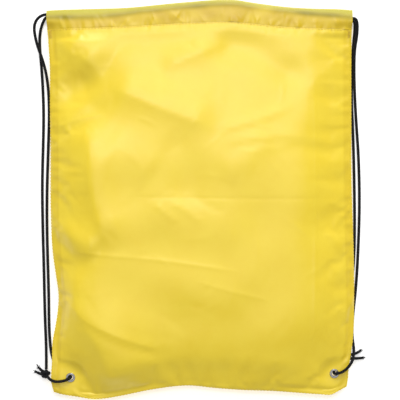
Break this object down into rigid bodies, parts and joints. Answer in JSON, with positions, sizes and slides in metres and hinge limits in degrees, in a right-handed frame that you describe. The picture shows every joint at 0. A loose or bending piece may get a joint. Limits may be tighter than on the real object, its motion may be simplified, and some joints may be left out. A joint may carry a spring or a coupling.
{
  "type": "drawstring backpack",
  "caption": "Flat polyester drawstring bag worn as a backpack, with a cord casing round the mouth, braided cords knotted through corner eyelets as straps.",
  "frame": {"origin": "centre of the underside of the bag as it lies on its back", "axes": "+X to the right of the front panel, +Y towards the mouth, +Z out of the front panel"},
  "size_m": [0.3627, 0.4325, 0.03],
  "materials": {
    "cloth": "plain-weave polyester with a soft sheen",
    "thread": "spun polyester sewing thread",
    "eyelet_metal": "nickel-plated, satin",
    "cord": "black braided polyester"
  },
  "bodies": {
    "bag": {"front_panel": "cloth", "back_panel": "cloth", "front_casing": "cloth", "back_casing": "cloth", "front_casing_thread": "thread", "back_casing_thread": "thread", "left_side_seam_thread": "thread", "bottom_seam_thread": "thread", "right_side_seam_thread": "thread", "left_eyelet": "eyelet_metal", "left_eyelet_washer": "eyelet_metal", "right_eyelet": "eyelet_metal", "right_eyelet_washer": "eyelet_metal", "left_front_strand": "cord", "left_back_strand": "cord", "right_front_strand": "cord", "right_back_strand": "cord", "left_knot": "cord", "right_knot": "cord", "left_knot_upper_tail": "cord", "left_knot_lower_tail": "cord", "right_knot_upper_tail": "cord", "right_knot_lower_tail": "cord"},
    "left_drawcord": {"left_drawcord_channel": "cord"},
    "right_drawcord": {"right_drawcord_channel": "cord"},
    "left_mouth_corner": {"left_mouth_bartack": "thread"},
    "right_mouth_corner": {"right_mouth_bartack": "thread"}
  },
  "joints": [
    {"name": "left_drawcord_pull", "type": "slide", "parent": "bag", "child": "left_drawcord", "axis": [-1, 0, 0], "range_m": [0, 0.1], "deforming": ["left_front_strand", "left_back_strand"]},
    {"name": "right_drawcord_pull", "type": "slide", "parent": "bag", "child": "right_drawcord", "axis": [1, 0, 0], "range_m": [0, 0.1], "deforming": ["right_front_strand", "right_back_strand"]},
    {"name": "left_mouth_gather", "type": "slide", "parent": "bag", "child": "left_mouth_corner", "axis": [1, 0, 0], "range_m": [0, 0.1], "deforming": ["front_panel", "back_panel", "front_casing", "back_casing", "front_casing_thread", "back_casing_thread", "left_side_seam_thread", "right_side_seam_thread"]},
    {"name": "right_mouth_gather", "type": "slide", "parent": "bag", "child": "right_mouth_corner", "axis": [-1, 0, 0], "range_m": [0, 0.1], "deforming": ["front_panel", "back_panel", "front_casing", "back_casing", "front_casing_thread", "back_casing_thread", "left_side_seam_thread", "right_side_seam_thread"]}
  ],
  "couplings": [
    {"joint": "left_mouth_gather", "follows": "right_drawcord_pull", "ratio": 1},
    {"joint": "right_mouth_gather", "follows": "left_drawcord_pull", "ratio": 1}
  ]
}
